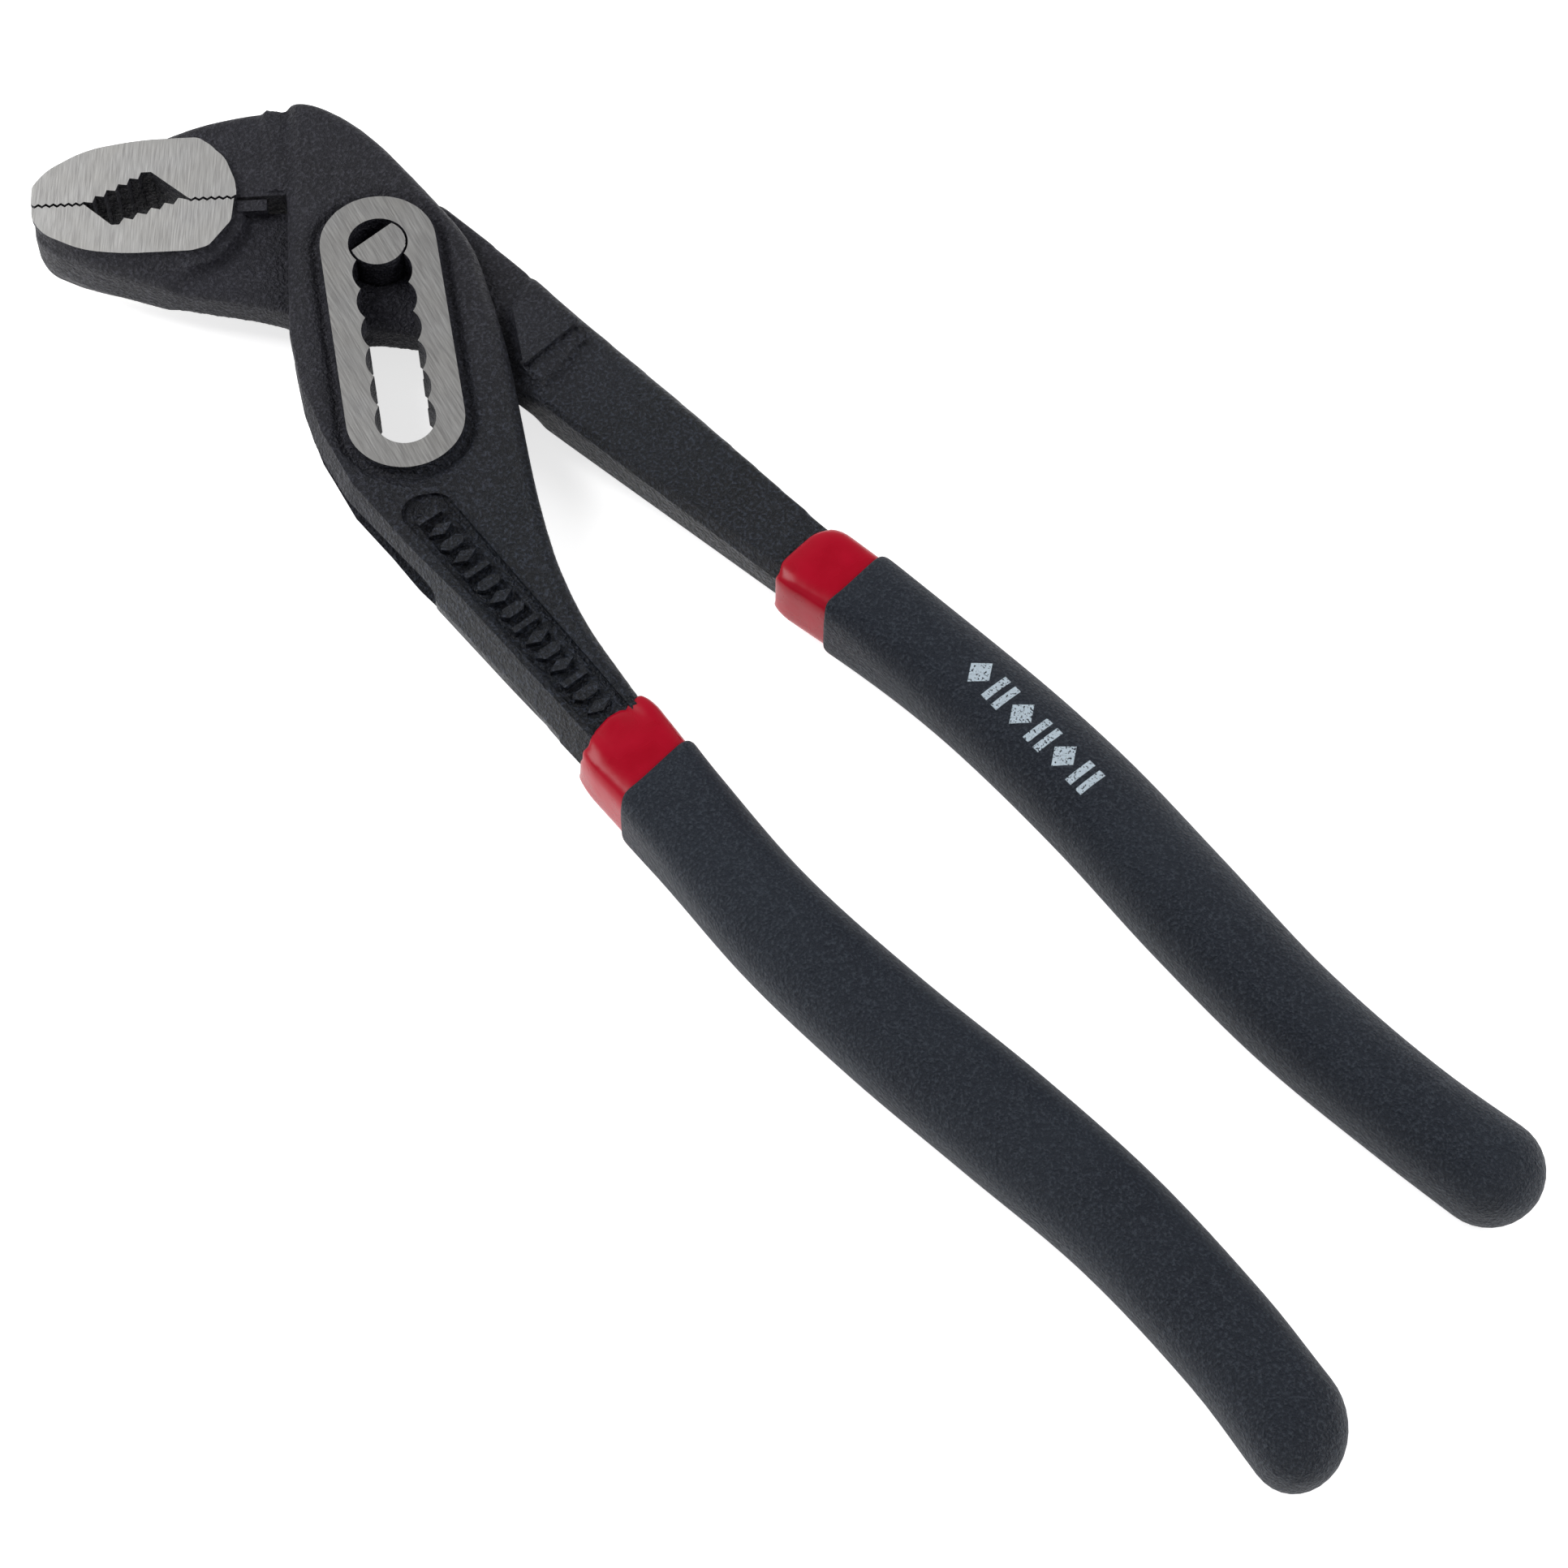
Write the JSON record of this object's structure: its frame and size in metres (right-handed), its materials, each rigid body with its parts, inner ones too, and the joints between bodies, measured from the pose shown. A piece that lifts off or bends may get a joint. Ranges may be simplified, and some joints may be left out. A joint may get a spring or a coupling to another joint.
{
  "type": "tongue and groove pliers",
  "caption": "Adjustable box-joint pliers: angled toothed jaws, a toothed slot for the pivot pin, and two long dipped handles.",
  "frame": {"origin": "on the pivot axis, in the plane the tool rests on when it lies flat (the rear end face of the pivot pin)", "axes": "+X along the tool from the pivot towards the handle ends, +Y towards the handle of the lower-jaw lever, +Z through the thickness"},
  "size_m": [0.2499, 0.0689, 0.013],
  "materials": {
    "forged_black": "black phosphated forging, satin, fine grain",
    "ground_steel": "fine ground",
    "red_dip": "glossy dipped plastic",
    "black_dip": "matt dipped plastic with a fine grain"
  },
  "bodies": {
    "outer": {"outer_lever": "forged_black", "outer_grip_base": "red_dip", "outer_grip": "black_dip"},
    "pin": {"pivot_pin": "ground_steel"},
    "inner": {"inner_lever": "forged_black", "inner_grip_base": "red_dip", "inner_grip": "black_dip"}
  },
  "joints": [
    {"name": "slip_adjust", "type": "slide", "parent": "outer", "child": "pin", "axis": [0.788, -0.6157, 0], "range_m": [0, 0.0297]},
    {"name": "jaw_pivot", "type": "hinge", "parent": "pin", "child": "inner", "pos_m": [0, 0, 0.0065], "axis": [0, 0, 1], "range_deg": [0, 58]}
  ]
}
